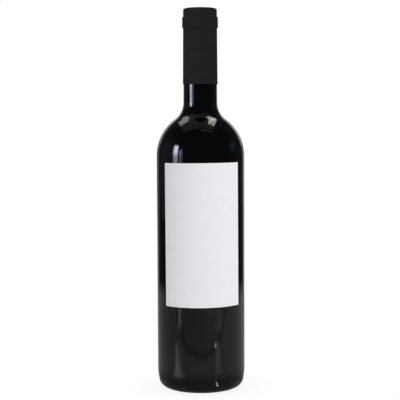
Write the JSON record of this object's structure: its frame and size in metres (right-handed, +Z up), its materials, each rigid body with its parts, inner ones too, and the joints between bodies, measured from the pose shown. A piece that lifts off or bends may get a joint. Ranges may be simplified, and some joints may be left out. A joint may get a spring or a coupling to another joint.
{
  "type": "wine bottle",
  "caption": "Tall straight-sided dark glass wine bottle with rounded shoulders, full of red wine, with a matte black capsule over its mouth and a bare white label.",
  "frame": {"origin": "middle of the ring that the bottle stands on, on the surface under it", "axes": "+Z up along the bottle's axis; the middle of the label faces -Y; +X is to the right of someone who reads the label"},
  "size_m": [0.076, 0.0762, 0.3284],
  "materials": {
    "green_glass": "polished",
    "red_wine": "gloss",
    "black_capsule": "satin",
    "label_paper": "matte"
  },
  "bodies": {
    "root": {"bottle": "green_glass", "wine": "red_wine", "capsule": "black_capsule", "label": "label_paper"}
  },
  "joints": []
}
